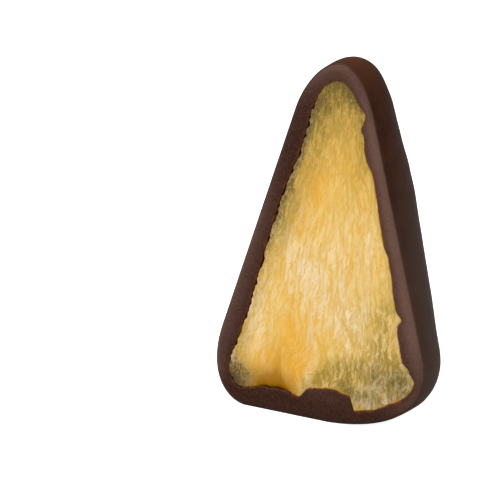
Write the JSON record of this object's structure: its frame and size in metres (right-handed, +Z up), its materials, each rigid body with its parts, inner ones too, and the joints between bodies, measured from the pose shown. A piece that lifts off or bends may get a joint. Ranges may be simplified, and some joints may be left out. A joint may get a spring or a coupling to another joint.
{
  "type": "chocolate covered pineapple",
  "caption": "Wedge of pineapple in a dark chocolate coating, cut through its thickness so that the yellow fruit shows inside an open chocolate cup; it stands on its broad end.",
  "frame": {"origin": "middle of the underside of the whole piece's bounding box", "axes": "+Z up to the narrow end, -Y out of the cut side, +X to the right seen from the cut side"},
  "size_m": [0.0272, 0.0096, 0.0422],
  "materials": {
    "dark_chocolate": "satin dark chocolate, smooth outside, matt and finely grained where it is cut",
    "pineapple_flesh": "moist, fibrous yellow fruit, slightly translucent"
  },
  "bodies": {
    "root": {"chocolate_coating": "dark_chocolate", "pineapple_flesh": "pineapple_flesh"}
  },
  "joints": []
}
